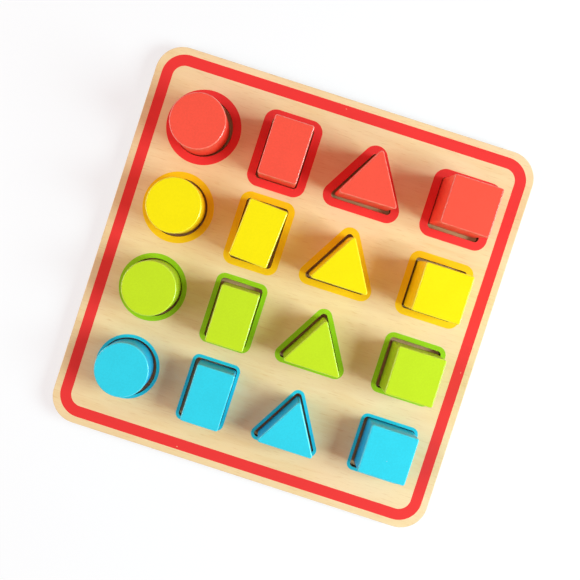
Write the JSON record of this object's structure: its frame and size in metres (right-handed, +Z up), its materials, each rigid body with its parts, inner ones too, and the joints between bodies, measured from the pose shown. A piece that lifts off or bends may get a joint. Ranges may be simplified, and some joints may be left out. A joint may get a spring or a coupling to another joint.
{
  "type": "shape puzzle",
  "caption": "Square wooden sorting board with rows of shape cut-outs, each holding a loose painted block; the blocks step down in height from row to row.",
  "frame": {"origin": "middle of the board's underside", "axes": "+Z up out of the board's face, +Y towards the row of red (tallest) blocks, +X towards the column of squares"},
  "size_m": [0.25, 0.25, 0.0413],
  "materials": {
    "backing_wood": "sanded plywood",
    "top_wood": "clear-lacquered birch plywood with printed rings and border",
    "red_paint": "satin red paint",
    "yellow_paint": "satin yellow paint",
    "green_paint": "satin lime green paint",
    "blue_paint": "satin light blue paint"
  },
  "bodies": {
    "board": {"backing_board": "backing_wood", "top_board": "top_wood"},
    "red_circle": {"red_circle_block": "red_paint"},
    "red_rectangle": {"red_rectangle_block": "red_paint"},
    "red_triangle": {"red_triangle_block": "red_paint"},
    "red_square": {"red_square_block": "red_paint"},
    "yellow_circle": {"yellow_circle_block": "yellow_paint"},
    "yellow_rectangle": {"yellow_rectangle_block": "yellow_paint"},
    "yellow_triangle": {"yellow_triangle_block": "yellow_paint"},
    "yellow_square": {"yellow_square_block": "yellow_paint"},
    "green_circle": {"green_circle_block": "green_paint"},
    "green_rectangle": {"green_rectangle_block": "green_paint"},
    "green_triangle": {"green_triangle_block": "green_paint"},
    "green_square": {"green_square_block": "green_paint"},
    "blue_circle": {"blue_circle_block": "blue_paint"},
    "blue_rectangle": {"blue_rectangle_block": "blue_paint"},
    "blue_triangle": {"blue_triangle_block": "blue_paint"},
    "blue_square": {"blue_square_block": "blue_paint"}
  },
  "joints": [
    {"name": "red_circle_lift", "type": "slide", "parent": "board", "child": "red_circle", "axis": [0, 0, 1], "range_m": [0, 0.045]},
    {"name": "red_rectangle_lift", "type": "slide", "parent": "board", "child": "red_rectangle", "axis": [0, 0, 1], "range_m": [0, 0.045]},
    {"name": "red_triangle_lift", "type": "slide", "parent": "board", "child": "red_triangle", "axis": [0, 0, 1], "range_m": [0, 0.045]},
    {"name": "red_square_lift", "type": "slide", "parent": "board", "child": "red_square", "axis": [0, 0, 1], "range_m": [0, 0.045]},
    {"name": "yellow_circle_lift", "type": "slide", "parent": "board", "child": "yellow_circle", "axis": [0, 0, 1], "range_m": [0, 0.045]},
    {"name": "yellow_rectangle_lift", "type": "slide", "parent": "board", "child": "yellow_rectangle", "axis": [0, 0, 1], "range_m": [0, 0.045]},
    {"name": "yellow_triangle_lift", "type": "slide", "parent": "board", "child": "yellow_triangle", "axis": [0, 0, 1], "range_m": [0, 0.045]},
    {"name": "yellow_square_lift", "type": "slide", "parent": "board", "child": "yellow_square", "axis": [0, 0, 1], "range_m": [0, 0.045]},
    {"name": "green_circle_lift", "type": "slide", "parent": "board", "child": "green_circle", "axis": [0, 0, 1], "range_m": [0, 0.045]},
    {"name": "green_rectangle_lift", "type": "slide", "parent": "board", "child": "green_rectangle", "axis": [0, 0, 1], "range_m": [0, 0.045]},
    {"name": "green_triangle_lift", "type": "slide", "parent": "board", "child": "green_triangle", "axis": [0, 0, 1], "range_m": [0, 0.045]},
    {"name": "green_square_lift", "type": "slide", "parent": "board", "child": "green_square", "axis": [0, 0, 1], "range_m": [0, 0.045]},
    {"name": "blue_circle_lift", "type": "slide", "parent": "board", "child": "blue_circle", "axis": [0, 0, 1], "range_m": [0, 0.045]},
    {"name": "blue_rectangle_lift", "type": "slide", "parent": "board", "child": "blue_rectangle", "axis": [0, 0, 1], "range_m": [0, 0.045]},
    {"name": "blue_triangle_lift", "type": "slide", "parent": "board", "child": "blue_triangle", "axis": [0, 0, 1], "range_m": [0, 0.045]},
    {"name": "blue_square_lift", "type": "slide", "parent": "board", "child": "blue_square", "axis": [0, 0, 1], "range_m": [0, 0.045]}
  ]
}
